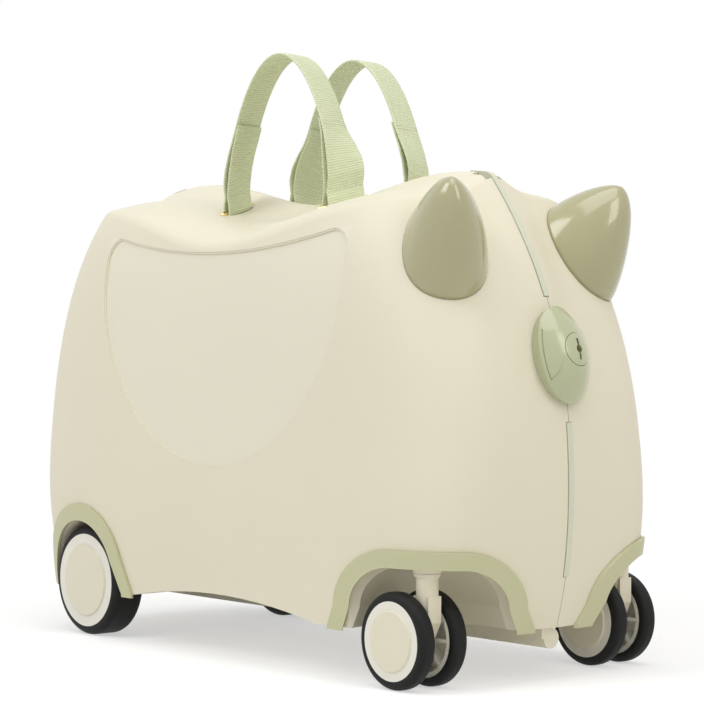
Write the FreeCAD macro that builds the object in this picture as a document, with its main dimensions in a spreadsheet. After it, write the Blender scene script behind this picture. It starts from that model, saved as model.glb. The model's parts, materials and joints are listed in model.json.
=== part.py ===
import FreeCAD, Part
import math
import os

import Sketcher
from FreeCAD import Placement, Rotation, Vector

# Ride-on suitcase: two moulded half shells hinged under the seam, with swivel casters at the
# front corners, fixed wheels at the rear corners, horns, carry straps and two catches.
# X points forward, Y to the left, Z up. The origin is on the floor, under the middle.

SIZES = {
    # body of the case
    "case_length": 460.0,
    "case_half_width": 101.0,
    "belly_height": 112.0,
    "crest_height": 310.0,
    "front_lean": 72.0,
    "rear_lean": 60.0,
    "lean_power": 2.4,
    "end_tuck": 23.5,
    "side_tuck": 6.0,
    "side_taper": 6.0,
    "shoulder_roll": 22.0,
    "shoulder_power": 6.0,
    "corner_power": 5.4,
    "corner_softening": 0.6,
    "nose_top": 9.0,
    "nose_belly": 3.5,
    "nose_width": 18.0,
    "saddle_height": 293.5,
    "saddle_depth_front": 15.5,
    "saddle_depth_rear": 19.0,
    "crest_reach": 128.0,
    "ridge_rise": 11.0,
    "ridge_width": 17.0,
    "shoulder_drop": 15.0,
    "shoulder_reach": 88.0,
    "shoulder_fillet": 10.0,
    "floor_height": 33.0,
    "floor_arch_rise": 9.0,
    "floor_arch_front": 110.0,
    "floor_arch_rear": -85.0,
    "wall": 3.0,
    "seat_wall": 6.0,
    "seam_gap": 0.4,
    "trim_proud": 2.2,
    # recessed panel on each side
    "panel_depth": 1.4,
    "panel_step": 0.5,
    "panel_edge": 1.2,
    "panel_radius": 126.0,
    "panel_middle": 4.0,
    "panel_height": 250.0,
    "panel_top_ends": 271.0,
    "panel_top_middle": 259.0,
    "panel_corner": 14.0,
    # front casters
    "caster_stem_x": 192.0,
    "caster_stem_y": 80.0,
    "caster_trail": 12.0,
    "caster_radius": 28.9,
    "caster_hub_radius": 23.5,
    "caster_wheel_width": 11.0,
    "caster_cap_radius": 18.5,
    "caster_shoulder": 3.8,
    "caster_web": 10.0,
    "caster_wheel_inset": 7.0,
    "caster_stem_radius": 6.6,
    "caster_collar_radius": 8.0,
    "caster_collar": 1.4,
    "caster_axle_radius": 2.5,
    "kingpin_radius": 4.0,
    "kingpin_bite": 20.0,
    "kingpin_head_radius": 6.5,
    "kingpin_head": 2.0,
    "socket_height": 69.0,
    "socket_top": 104.0,
    "socket_radius": 8.5,
    # front wheel well and its trim
    "arch_half_span": 62.5,
    "arch_top": 82.0,
    "arch_band": 10.5,
    "arch_corner": 36.0,
    "arch_flare": 4.0,
    "arch_foot": 31.0,
    "well_back": 24.0,
    # rear wheels, their wells and trim
    "rear_axle_x": -145.5,
    "rear_radius": 37.8,
    "rear_hub_radius": 31.9,
    "rear_wheel_width": 24.0,
    "rear_wheel_outer": 95.2,
    "rear_cap_radius": 25.0,
    "rear_shoulder": 5.0,
    "rear_axle_radius": 4.0,
    "rear_boss_radius": 10.0,
    "rear_boss_length": 20.0,
    "rear_well_clearance": 3.7,
    "rear_well_side": 66.0,
    "rear_arch_band": 11.5,
    "rear_arch_flare": 10.0,
    "rear_flare_angle": 22.4,
    # fits
    "running_clearance": 0.05,
    "seat_clearance": 0.02,
    "thrust_gap": 0.3,
    "moving_gap": 0.4,
    "trim_gap": 0.3,
    # wheel hubs
    "hub_boss_wall": 3.5,
    "hub_web": 2.5,
    "hub_rim": 3.0,
    "hub_rib": 2.0,
    "cap_seat": 1.5,
    "cap_rise": 1.0,
    "axle_end_gap": 0.6,
    # case hinge
    "hinge_height": 26.0,
    "hinge_half_length": 214.0,
    "knuckle_radius": 6.2,
    "knuckle_count": 7,
    "knuckle_gap": 0.5,
    "knuckle_web": 8.0,
    "knuckle_web_top": 44.0,
    "hinge_pin_radius": 2.25,
    "hinge_end_wall": 3.0,
    "hinge_relief": 0.6,
    # horns
    "horn_x": 173.0,
    "horn_y": 53.5,
    "horn_z": 247.0,
    "horn_lean_x": 0.53,
    "horn_lean_y": 0.32,
    "horn_lean_z": 0.78,
    "horn_radius": 26.0,
    "horn_length": 62.5,
    "horn_taper_power": 2.0,
    "horn_tip_power": 0.5,
    "horn_root": 18.0,
    "horn_boss_radius": 8.0,
    "horn_boss_depth": 14.0,
    "horn_screw_radius": 2.0,
    "horn_screw_reach": 16.0,
    "horn_screw_head": 5.0,
    # seam trims and tow loops
    "trim_half_width": 2.0,
    "trim_depth": 3.2,
    "trim_face": 0.6,
    "trim_upper_end": 230.5,
    "trim_lower_top": 156.0,
    "trim_lower_end": 64.0,
    "tow_pocket_radius": 6.5,
    "tow_pocket_half_width": 7.0,
    "tow_pocket_drop": 2.5,
    "tow_pocket_lean": 12.0,
    "tow_anchor": 14.0,
    # catches
    "catch_height": 195.0,
    "catch_half_height": 30.0,
    "catch_half_width": 20.0,
    "catch_crown": 14.0,
    "catch_crown_radius": 24.0,
    "catch_long_radius": 46.0,
    "catch_under": 2.2,
    "catch_plate": 1.5,
    "catch_plate_depth": 9.0,
    "catch_base_edge": 11.0,
    "catch_pin_y": 14.5,
    "catch_pin_height": 4.2,
    "catch_pin_radius": 0.9,
    "catch_lug_radius": 1.9,
    "catch_lug_inner": 9.0,
    "catch_lug_width": 4.0,
    "button_reach": -10.0,
    "button_arc": 22.0,
    "button_edge": 1.5,
    "button_proud": 0.5,
    "button_under": 3.9,
    "barrel_y": 2.2,
    "barrel_z": 1.0,
    "barrel_radius": 10.0,
    "barrel_proud": 0.3,
    "keyhole_radius": 2.4,
    "keyhole_slot": 1.8,
    "keyhole_reach": 6.5,
    "keyhole_depth": 8.0,
    "catch_screw_radius": 1.4,
    "catch_screw_length": 9.0,
    "catch_screw_head": 2.8,
    "catch_screw_y": 8.0,
    "catch_screw_z": 20.0,
    # carry straps, the wire bars that hold them and the sewn loops round the bars
    "strap_x": 56.0,
    "strap_y": 31.0,
    "strap_bar_height": 291.0,
    "strap_bar_radius": 2.0,
    "strap_bar_half": 17.0,
    "strap_bar_leg": 14.0,
    "strap_bar_splay": 17.0,
    "strap_bar_tilt": 14.0,
    "strap_boss_radius": 5.5,
    "strap_width": 26.0,
    "strap_thickness": 1.8,
    "strap_lap_gap": 0.3,
    "strap_foot": 0.94,
    "strap_pocket_clearance": 0.8,
    "strap_pivot": 309.0,
    "strap_top": 390.0,
    "strap_arch_power": 1.35,
}

doc = FreeCAD.newDocument("ride_on_suitcase")
sheet = doc.addObject("Spreadsheet::Sheet", "sizes")
for row, (alias, number) in enumerate(SIZES.items(), start=1):
    sheet.set("A%d" % row, alias)
    sheet.set("B%d" % row, str(number))
    sheet.setAlias("B%d" % row, alias)
doc.recompute()


class Size:
    """A size that carries both its number and the sheet expression that gives it."""

    def __init__(self, expression, value):
        self.expression = expression
        self.value = value

    def __add__(self, other):
        other = as_size(other)
        return Size("(%s + %s)" % (self.expression, other.expression), self.value + other.value)

    def __sub__(self, other):
        other = as_size(other)
        return Size("(%s - %s)" % (self.expression, other.expression), self.value - other.value)

    def __mul__(self, other):
        other = as_size(other)
        return Size("(%s * %s)" % (self.expression, other.expression), self.value * other.value)

    def __neg__(self):
        return Size("(0 - %s)" % self.expression, -self.value)

    def __float__(self):
        return float(self.value)


def as_size(thing):
    """Any plain number as a size."""
    return thing if isinstance(thing, Size) else Size(repr(float(thing)), float(thing))


def S(alias):
    """The size held in the sheet under this alias."""
    return Size("sizes." + alias, float(sheet.get(alias)))


def V(alias):
    """The number held in the sheet under this alias."""
    return float(sheet.get(alias))


SIDES = {"left": 1.0, "right": -1.0}
ENDS = {"front": 1.0, "rear": -1.0}
FAR = 400.0
made = []


def keep(label, shape):
    """Add a finished solid to the document under its own label."""
    piece = doc.addObject("Part::Feature", label)
    piece.Shape = shape
    piece.Label = label
    made.append(piece)
    return piece


def box(low, high):
    """Box between two corners."""
    size = Vector(*high) - Vector(*low)
    return Part.makeBox(size.x, size.y, size.z, Vector(*low))


def rod(start, end, radius):
    """Cylinder from one point to another."""
    start = Vector(*start)
    run = Vector(*end) - start
    return Part.makeCylinder(radius, run.Length, start, run)


def smooth_edge(points):
    """Smooth curve through points, at even parameters."""
    curve = Part.BSplineCurve()
    steps = [k / (len(points) - 1) for k in range(len(points))]
    curve.interpolate(Points=points, Parameters=steps)
    return curve.toShape()


def polygon_face(points):
    """Flat face with straight edges."""
    return Part.Face(Part.makePolygon([Vector(*p) for p in points + points[:1]]))


# body of the case

def rise(height):
    """How far a height lies from the belly line to the crest, as a share."""
    return (height - V("belly_height")) / (V("crest_height") - V("belly_height"))


def end_x(height, end):
    """Distance of the seam from the middle at a height, at the front (1) or rear (-1) end."""
    reach = V("case_length") / 2
    share = rise(height)
    if share < 0:
        drop = -share * (V("crest_height") - V("belly_height")) / V("belly_height")
        return reach - V("end_tuck") * drop ** 2
    lean = V("front_lean") if end > 0 else V("rear_lean")
    return reach - lean * share ** V("lean_power")


def half_width(height):
    """Half width of the body at a height."""
    share = rise(height)
    if share < 0:
        drop = -share * (V("crest_height") - V("belly_height")) / V("belly_height")
        return V("case_half_width") - V("side_tuck") * drop ** 2
    roll = V("shoulder_roll") * share ** V("shoulder_power")
    return V("case_half_width") - V("side_taper") * share - roll


def half_outline(height, inset, side):
    """Plan outline of one half at a height, from the front seam round to the rear seam."""
    count = 40
    crowding = 0.85
    power = V("corner_power") - V("corner_softening") * max(rise(height), 0.0)
    nose = V("nose_belly") + (V("nose_top") - V("nose_belly")) * max(rise(height), 0.0)
    width = half_width(height) - inset
    points = []
    for k in range(count + 1):
        share = k / count
        angle = math.pi * (share - crowding * math.sin(2 * math.pi * share) / (2 * math.pi))
        end = 1.0 if share <= 0.5 else -1.0
        reach = end_x(height, end) - nose - inset
        along, across = abs(math.cos(angle)) / reach, math.sin(angle) / width
        radius = (along ** power + max(across, 0.0) ** power) ** (-1.0 / power)
        x, y = radius * math.cos(angle), radius * max(math.sin(angle), 0.0)
        x += end * nose * math.exp(-(y / V("nose_width")) ** 2)
        points.append(Vector(x, side * y, height))
    return points


def half_block(inset, side):
    """One half of the body up to above the crest, before the saddle is cut, moved in by inset."""
    bottom, top, count = 18.0, 1.04 * V("crest_height"), 11
    wires = []
    for k in range(count):
        height = bottom + (top - bottom) * k / (count - 1)
        points = half_outline(height, inset, side)
        wires.append(Part.Wire([smooth_edge(points), Part.LineSegment(points[-1], points[0]).toShape()]))
    return Part.makeLoft(wires, True, False)


def ridge_z(x):
    """Height of the seam ridge along the saddle."""
    swing = (1.0 - math.cos(math.pi * x / V("crest_reach"))) / 2
    depth = V("saddle_depth_front") if x > 0 else V("saddle_depth_rear")
    return V("saddle_height") + depth * swing


def saddle_z(x, y):
    """Height of the saddle: a ridge on the seam that falls to rounded shoulders."""
    ridge = V("ridge_rise") * (1.0 - math.exp(-(y / V("ridge_width")) ** 2))
    return ridge_z(x) - ridge - V("shoulder_drop") * abs(y / V("shoulder_reach")) ** 3


def under_saddle(drop):
    """Everything below the saddle surface lowered by drop."""
    reach_x, reach_y, count_x, count_y = 262.0, 126.0, 30, 42
    grid = []
    for i in range(count_x + 1):
        x = -reach_x + 2 * reach_x * i / count_x
        ys = [-reach_y + 2 * reach_y * j / count_y for j in range(count_y + 1)]
        grid.append([Vector(x, y, saddle_z(x, y) - drop) for y in ys])
    surface = Part.BSplineSurface()
    surface.interpolate(grid)
    return surface.toShape().extrude(Vector(0, 0, -FAR))


def above_floor(lift):
    """Everything above the underside, which arches up between the wheels."""
    low, peak = V("floor_height") + lift, V("floor_height") + V("floor_arch_rise") + lift
    front, rear = V("floor_arch_front"), V("floor_arch_rear")
    arch = Part.Arc(Vector(rear, 0, low), Vector((front + rear) / 2, 0, peak), Vector(front, 0, low))
    corners = [(front, low), (FAR, low), (FAR, FAR), (-FAR, FAR), (-FAR, low), (rear, low)]
    corners = [Vector(x, 0, z) for x, z in corners]
    edges = [Part.LineSegment(a, b).toShape() for a, b in zip(corners, corners[1:])]
    face = Part.Face(Part.Wire([arch.toShape()] + edges))
    face.translate(Vector(0, -FAR / 2, 0))
    return face.extrude(Vector(0, FAR, 0))


def seam_side(side, gap):
    """The half space of one half, kept half the gap away from the seam plane."""
    if side > 0:
        return box((-FAR, gap / 2, -FAR), (FAR, FAR, FAR))
    return box((-FAR, -FAR, -FAR), (FAR, -gap / 2, FAR))


def shoulder_edges(shape):
    """Edges where the saddle meets the sides."""
    picked = []
    for edge in shape.Edges:
        bounds = edge.BoundBox
        if bounds.ZMin > V("floor_height") + V("catch_height") and bounds.YLength > V("strap_y"):
            picked.append(edge)
    return picked


def outer_half(side):
    """Outside form of one half as a full solid, with a rounded shoulder."""
    block = half_block(0.0, side).common(under_saddle(0.0)).common(above_floor(0.0))
    block = block.common(seam_side(side, V("seam_gap")))
    return block.makeFillet(V("shoulder_fillet"), shoulder_edges(block))


def inner_half(side):
    """Hollow of one half before the wells and bosses are left standing in it."""
    wall = V("wall")
    hollow = half_block(wall, side).common(under_saddle(V("seat_wall"))).common(above_floor(wall))
    return hollow.common(seam_side(side, 0.0))


# wheel wells and their trims

def arch_face(shrink):
    """Outline of the front arch, seen along the diagonal of the corner."""
    span = V("arch_half_span") - shrink
    top = V("arch_top") - shrink
    corner = V("arch_corner") - shrink
    waist = span - V("arch_flare")
    bend = corner * math.sqrt(0.5)
    centre = Vector(waist - corner, 0, top - corner)
    low = -5.0
    right = [Vector(span, 0, low), Vector(span, 0, V("floor_height")), Vector(waist, 0, top - corner)]
    middle, crown = centre + Vector(bend, 0, bend), centre + Vector(0, 0, corner)
    flip = [Vector(-p.x, 0, p.z) for p in right]
    edges = [Part.LineSegment(a, b).toShape() for a, b in zip(right, right[1:])]
    edges.append(Part.Arc(right[-1], middle, crown).toShape())
    crown_left = Vector(-crown.x, 0, crown.z)
    edges.append(Part.LineSegment(crown, crown_left).toShape())
    edges.append(Part.Arc(crown_left, Vector(-middle.x, 0, middle.z), flip[-1]).toShape())
    edges += [Part.LineSegment(b, a).toShape() for a, b in zip(flip, flip[1:])][::-1]
    edges.append(Part.LineSegment(flip[0], right[0]).toShape())
    return Part.Face(Part.Wire(edges))


def corner_prism(shrink, side, back):
    """Front arch outline carried outwards through the corner, starting behind the stem."""
    face = arch_face(shrink)
    face.translate(Vector(0, -side * back, 0))
    prism = face.extrude(Vector(0, side * FAR / 2, 0))
    turn = Placement(Vector(V("caster_stem_x"), side * V("caster_stem_y"), 0), Rotation(Vector(0, 0, 1), -45 * side))
    prism.Placement = turn
    return prism


def front_well(grow, side):
    """Room for the swivelling caster: a round back and a tunnel out through the corner."""
    shrink = V("arch_band") - grow
    tunnel = corner_prism(shrink, side, V("well_back") + grow)
    half = arch_face(shrink).common(box((0, -1, -FAR), (FAR, 1, FAR)))
    round_back = half.revolve(Vector(0, 0, 0), Vector(0, 0, 1), 360)
    round_back.translate(Vector(V("caster_stem_x"), side * V("caster_stem_y"), 0))
    return [tunnel, round_back]


def rear_arch_face(radius):
    """Outline of the rear arch in the side view: round over the wheel, with a flared front foot."""
    lean = math.radians(V("rear_flare_angle"))
    low = -5.0 - V("rear_radius")
    foot = Vector(radius + V("rear_arch_flare"), 0, V("floor_height") - V("rear_radius"))
    start = Vector(radius * math.cos(lean), 0, radius * math.sin(lean))
    points = [Vector(-radius, 0, 0), Vector(-radius, 0, low), Vector(foot.x, 0, low), foot, start]
    edges = [Part.LineSegment(a, b).toShape() for a, b in zip(points, points[1:])]
    edges.append(Part.Arc(start, Vector(0, 0, radius), points[0]).toShape())
    face = Part.Face(Part.Wire(edges))
    face.translate(Vector(V("rear_axle_x"), 0, V("rear_radius")))
    return face


def rear_prism(radius, side, inner):
    """Rear arch outline carried outwards from a distance beside the seam."""
    face = rear_arch_face(radius)
    face.translate(Vector(0, side * inner, 0))
    return face.extrude(Vector(0, side * FAR / 2, 0))


def rear_well_radius():
    return V("rear_radius") + V("rear_well_clearance")


def rear_well(grow, side):
    """Room for the fixed rear wheel."""
    return [rear_prism(rear_well_radius() + grow, side, V("rear_well_side") - grow)]


def trim_skin(side):
    """The body one trim thickness larger, above the trim's foot."""
    skin = half_block(-V("trim_proud"), side)
    return skin.common(box((-FAR, -FAR, V("arch_foot")), (FAR, FAR, V("catch_height"))))


# hardware moulded into the shells

def horn_axis(side):
    return Vector(V("horn_lean_x"), side * V("horn_lean_y"), V("horn_lean_z")).normalize()


def horn_base(side):
    return Vector(V("horn_x"), side * V("horn_y"), V("horn_z"))


def along_horn(side, distance):
    return horn_base(side) + horn_axis(side) * distance


def kingpin_rod(side, radius, low, high):
    """Upright cylinder on the caster's swivel axis."""
    x, y = V("caster_stem_x"), side * V("caster_stem_y")
    return rod((x, y, low), (x, y, high), radius)


def rear_axle_rod(side, radius, inner, outer):
    """Cylinder on the rear axle between two distances from the seam."""
    x, z = V("rear_axle_x"), V("rear_radius")
    return rod((x, side * inner, z), (x, side * outer, z), radius)


def strap_spot(side, place):
    """Middle of one strap bar; place is -1 for the rear bar and 1 for the front one."""
    return Vector(place * V("strap_x"), side * V("strap_y"), V("strap_bar_height"))


def strap_run(side, place, half):
    """Way from the middle of a strap bar to its inner end: across the case, splayed and rising to the ridge."""
    splay, tilt = math.radians(V("strap_bar_splay")), math.radians(V("strap_bar_tilt"))
    return Vector(place * math.sin(splay), -side * math.cos(splay), math.tan(tilt)).normalize() * half


def strap_ends(side, place):
    """Both ends of a strap bar."""
    spot, run = strap_spot(side, place), strap_run(side, place, V("strap_bar_half"))
    return [spot - run, spot + run]


def strap_rod(side, place, radius, half):
    """Cylinder along one strap bar."""
    spot, run = strap_spot(side, place), strap_run(side, place, half)
    return rod(spot - run, spot + run, radius)


def strap_legs(side, place, radius, depth):
    """The two upright legs of one strap bar."""
    return [rod(top - Vector(0, 0, depth), top, radius) for top in strap_ends(side, place)]


def strap_bar(side, place, grow):
    """One bent wire: the bar, its two legs and the round bends between them."""
    radius = V("strap_bar_radius") + grow
    bar = strap_rod(side, place, radius, V("strap_bar_half"))
    for leg, top in zip(strap_legs(side, place, radius, V("strap_bar_leg")), strap_ends(side, place)):
        bar = bar.fuse(leg).fuse(Part.makeSphere(radius, top))
    return bar


def strap_loop_radius():
    return V("strap_bar_radius") + V("seat_clearance") + V("strap_thickness")


def strap_pocket_radius():
    return strap_loop_radius() + V("strap_pocket_clearance")


def tow_pocket(points, end, grow):
    """Round pocket across the ridge, under the tow strip's bend over the crest."""
    lean = math.radians(V("tow_pocket_lean"))
    up = Vector(end * math.sin(lean), 0, math.cos(lean))
    centre = max(points, key=lambda p: p.dot(up)) - up * V("tow_pocket_drop")
    half = Vector(0, V("tow_pocket_half_width") + grow, 0)
    return rod(centre - half, centre + half, V("tow_pocket_radius") + grow)


def seam_points(body):
    """Fine row of points on the case's outline in the seam plane."""
    edges = body.slice(Vector(0, 1, 0), V("seam_gap"))[0].Edges
    return [Vector(p.x, 0, p.z) for edge in edges for p in edge.discretize(Distance=V("seam_gap"))]


def strip_path(points, end, low, high):
    """Even points up the seam at one end, from a height to another or back over the crest to the tow anchor."""
    count = 32
    back = end_x(V("crest_height"), end) - V("tow_anchor")
    hub = Vector(end * (back - V("tow_anchor")), 0, V("catch_height"))
    picked = [p for p in points if end * p.x > back and low < p.z < high]
    picked.sort(key=lambda p: math.atan2(p.z - hub.z, end * (p.x - hub.x)))
    lengths = [0.0]
    for a, b in zip(picked, picked[1:]):
        lengths.append(lengths[-1] + (b - a).Length)
    path, k = [], 0
    for step in range(count + 1):
        while lengths[k] < lengths[-1] * step / count:
            k += 1
        path.append(picked[k])
    return path


def trim_strips(points, end, grow):
    """The two strips of one end, grown for their grooves: the tow strip over the crest and the lower strip."""
    spans = {"tow": (V("trim_upper_end"), FAR), "lower": (V("trim_lower_end"), V("trim_lower_top"))}
    proud = FAR / 100 if grow else V("trim_face")
    depth, half = V("trim_depth") + grow, V("trim_half_width") + grow
    strips = {}
    for name, (low, high) in spans.items():
        path = strip_path(points, end, low, high)
        runs = [(b - a).normalize() for a, b in zip(path[:1] + path, path[1:] + path[-1:])]
        path[0], path[-1] = path[0] - runs[0] * grow, path[-1] + runs[-1] * grow
        outward = [Vector(end * run.z, 0, -end * run.x) for run in runs]
        outer = [p + way * proud for p, way in zip(path, outward)]
        inner = [p - way * depth for p, way in zip(path, outward)]
        edges = [smooth_edge(outer), Part.LineSegment(outer[-1], inner[-1]).toShape()]
        edges += [smooth_edge(inner[::-1]), Part.LineSegment(inner[0], outer[0]).toShape()]
        face = Part.Face(Part.Wire(edges))
        face.translate(Vector(0, -half, 0))
        strips[name] = face.extrude(Vector(0, 2 * half, 0))
    return strips


def knuckles(side):
    """Start and end of the hinge knuckles that belong to one half; they take turns along the seam."""
    count = int(V("knuckle_count"))
    pitch = 2 * V("hinge_half_length") / count
    first = 1 if side > 0 else 0
    starts = [-V("hinge_half_length") + k * pitch for k in range(first, count, 2)]
    gap = V("knuckle_gap") / 2
    return [(x + gap, x + pitch - gap) for x in starts]


# catches: local x out of the surface, y to the left, z up along the surface

def catch_placement(end):
    """Frame of a catch on the seam; the rear one is the front one turned half round."""
    height = V("catch_height")
    step = 20.0
    slope = (end_x(height - step, end) - end_x(height + step, end)) / (2 * step)
    tilt = Rotation(Vector(0, 1, 0), -math.degrees(math.atan(slope)))
    turn = Rotation(Vector(0, 0, 1), 0 if end > 0 else 180)
    return Placement(Vector(end * end_x(height, end), 0, height), turn.multiply(tilt))


def oval(inset, low, high):
    """Oval prism of the catch, made smaller by inset, between two heights over the surface."""
    tall, wide = V("catch_half_height") - inset, V("catch_half_width") - inset
    ring = Part.Ellipse(Vector(low, 0, tall), Vector(low, wide, 0), Vector(low, 0, 0))
    return Part.Face(Part.Wire(ring.toShape())).extrude(Vector(high - low, 0, 0))


def crown(lift):
    """Barrel-shaped outside of the catch, raised by lift."""
    top = V("catch_crown") + lift
    axis = top - V("catch_crown_radius")
    half = V("catch_half_height") + 4.0
    end = top - (V("catch_long_radius") - math.sqrt(V("catch_long_radius") ** 2 - half ** 2))
    arc = Part.Arc(Vector(end, 0, -half), Vector(top, 0, 0), Vector(end, 0, half))
    corners = [Vector(end, 0, half), Vector(axis, 0, half), Vector(axis, 0, -half), Vector(end, 0, -half)]
    edges = [Part.LineSegment(a, b).toShape() for a, b in zip(corners, corners[1:])]
    face = Part.Face(Part.Wire([arc.toShape()] + edges))
    return face.revolve(Vector(axis, 0, 0), Vector(0, 0, 1), 360)


def button_prism(inset, radius_gain, low):
    """Crescent beside the catch's edge, from a height up through the crown."""
    centre = V("button_reach") - V("button_arc")
    disc = rod((low, centre, 0), (2 * V("catch_crown"), centre, 0), V("button_arc") + radius_gain)
    return oval(inset, low, 2 * V("catch_crown")).common(disc)


def catch_lugs():
    """The two hinge lugs that stand on the catch base."""
    y, height, radius = V("catch_pin_y"), V("catch_pin_height"), V("catch_lug_radius")
    solids = []
    for turn in (-1, 1):
        inner = turn * V("catch_lug_inner")
        outer = turn * (V("catch_lug_inner") + V("catch_lug_width"))
        low, high = min(inner, outer), max(inner, outer)
        upright = box((0, y - radius, low), (height, y + radius, high))
        tongue = box((-V("catch_plate_depth"), V("catch_screw_y"), low), (V("catch_plate"), y + radius, high))
        solids.append(upright.fuse(tongue).fuse(rod((height, y, low), (height, y, high), radius)))
    return solids


def catch_pin_rod(radius):
    """Cylinder on the catch's hinge axis."""
    y, height = V("catch_pin_y"), V("catch_pin_height")
    half = V("catch_lug_inner") + V("catch_lug_width")
    return rod((height, y, -half), (height, y, half), radius)


def catch_screws(facing):
    """Two countersunk screws through a catch plate; facing is 1 for the base and -1 for the keeper."""
    top, head = V("catch_plate"), V("catch_plate")
    solids = []
    for turn in (-1, 1):
        y, z = facing * V("catch_screw_y"), turn * V("catch_screw_z")
        shank = rod((top - V("catch_screw_length"), y, z), (top, y, z), V("catch_screw_radius"))
        solids.append(shank.fuse(rod((top - head, y, z), (top, y, z), V("catch_screw_head"))))
    return solids


def placed(shape, placement):
    """A shape moved from a catch's frame to the case's frame."""
    moved = shape.copy()
    moved.Placement = placement.multiply(moved.Placement)
    return moved


def catch_plate(facing):
    """Oval plate on one side of the seam, thick enough to be cut to the shell's surface."""
    gap = V("seam_gap")
    plate = oval(1.0, -V("catch_plate_depth"), V("catch_plate"))
    return plate.common(seam_side(facing, gap))


def catch_holder(end):
    """The half that carries a catch: the left one in front, the right one at the rear."""
    return 1.0 if end > 0 else -1.0


# shells

def make_shell(name, side, body, seam):
    """One half shell with its wells, panel recess, bosses, knuckles and grooves."""
    hollow = inner_half(side)
    wall = V("wall")
    for well in front_well(wall, side) + rear_well(wall, side):
        hollow = hollow.cut(well)
    low, high = V("socket_height"), V("socket_top")
    boss_inner = V("rear_well_side") - V("rear_boss_length")
    bosses = [kingpin_rod(side, V("socket_radius"), low, high)]
    bosses.append(rear_axle_rod(side, V("rear_boss_radius"), boss_inner, V("rear_well_side")))
    start = along_horn(side, -V("horn_boss_depth"))
    bosses.append(rod(start, along_horn(side, V("horn_length")), V("horn_boss_radius")))
    for place in (-1, 1):
        bosses += strap_legs(side, place, V("strap_boss_radius"), V("strap_bar_leg") + wall)
        bosses.append(strap_rod(side, place, strap_pocket_radius() + wall, V("strap_bar_half")))
    for end in ENDS.values():
        bosses.append(tow_pocket(seam, end, wall))
    for boss in bosses:
        hollow = hollow.cut(boss)
    solid = body.cut(hollow)
    hinge, web_top = V("hinge_height"), V("knuckle_web_top")
    ys = sorted((side * V("seam_gap") / 2, side * V("knuckle_web")))
    for x0, x1 in knuckles(side):
        solid = solid.fuse(box((x0, ys[0], hinge), (x1, ys[1], web_top)))
        solid = solid.fuse(rod((x0, 0, hinge), (x1, 0, hinge), V("knuckle_radius")))
    for well in front_well(0.0, side) + rear_well(0.0, side):
        solid = solid.cut(well)
    socket = kingpin_rod(side, V("socket_radius"), low, V("arch_top"))
    solid = solid.fuse(socket.common(half_block(V("trim_gap"), side)))
    cuts = [side_panel(side, V("panel_edge")).cut(half_block(V("panel_step"), side))]
    cuts.append(side_panel(side, 0.0).cut(half_block(V("panel_depth"), side)))
    cuts += hinge_reliefs(side)
    cuts.append(kingpin_rod(side, V("kingpin_radius") + V("running_clearance"), low, high))
    cuts.append(rear_axle_rod(side, V("rear_axle_radius") + V("seat_clearance"), boss_inner, FAR / 2))
    screw_start = along_horn(side, -V("horn_boss_depth"))
    cuts.append(rod(screw_start, along_horn(side, V("horn_screw_reach")), V("horn_screw_radius")))
    for place in (-1, 1):
        cuts.append(strap_rod(side, place, strap_pocket_radius(), V("strap_bar_half") - 2 * V("strap_bar_radius")))
        cuts.append(strap_bar(side, place, V("seat_clearance")))
    clearance = V("trim_gap") if side > 0 else V("moving_gap")
    for end in ENDS.values():
        cuts.append(tow_pocket(seam, end, 0.0))
        cuts += trim_strips(seam, end, clearance).values()
        facing = 1.0 if catch_holder(end) == side else -1.0
        cuts += [placed(screw, catch_placement(end)) for screw in catch_screws(facing)]
    pin_gap = V("seat_clearance") if side > 0 else V("running_clearance")
    half = V("hinge_half_length") - V("hinge_end_wall")
    height = V("hinge_height")
    cuts.append(rod((-half, 0, height), (half, 0, height), V("hinge_pin_radius") + pin_gap))
    for cut in cuts:
        solid = solid.cut(cut)
    solid = max(solid.Solids, key=lambda s: s.Volume)
    return keep(name, solid)


def hinge_reliefs(side):
    """Shallow steps in the underside over the other half's knuckles."""
    floor, depth = V("floor_height"), V("hinge_relief")
    ys = sorted((0.0, side * V("knuckle_web")))
    gap = V("knuckle_gap") / 2
    return [box((x0 - gap, ys[0], floor - depth), (x1 + gap, ys[1], floor + depth)) for x0, x1 in knuckles(-side)]


def side_panel(side, grow):
    """U-shaped panel outline, moved out by grow and carried through the side: a half circle under a sag."""
    radius, x0, z0 = V("panel_radius") + grow, V("panel_middle"), V("panel_height")
    corner = V("panel_corner") + grow
    ends, middle = V("panel_top_ends") + grow, V("panel_top_middle") + grow
    shoulder = ends - corner
    left, right = x0 - radius, x0 + radius
    bottom = Part.Arc(Vector(left, 0, z0), Vector(x0, 0, z0 - radius), Vector(right, 0, z0))
    bend = corner * (1 - math.sqrt(0.5))
    top_right = Part.Arc(Vector(right, 0, shoulder), Vector(right - bend, 0, ends - bend), Vector(right - corner, 0, ends))
    top_left = Part.Arc(Vector(left + corner, 0, ends), Vector(left + bend, 0, ends - bend), Vector(left, 0, shoulder))
    top = Part.Arc(Vector(right - corner, 0, ends), Vector(x0, 0, middle), Vector(left + corner, 0, ends))
    rights = Part.LineSegment(Vector(right, 0, z0), Vector(right, 0, shoulder))
    lefts = Part.LineSegment(Vector(left, 0, shoulder), Vector(left, 0, z0))
    wire = Part.Wire([e.toShape() for e in (bottom, rights, top_right, top, top_left, lefts)])
    face = Part.Face(wire)
    face.translate(Vector(0, side * V("strap_y"), 0))
    return face.extrude(Vector(0, side * FAR / 2, 0))


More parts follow.
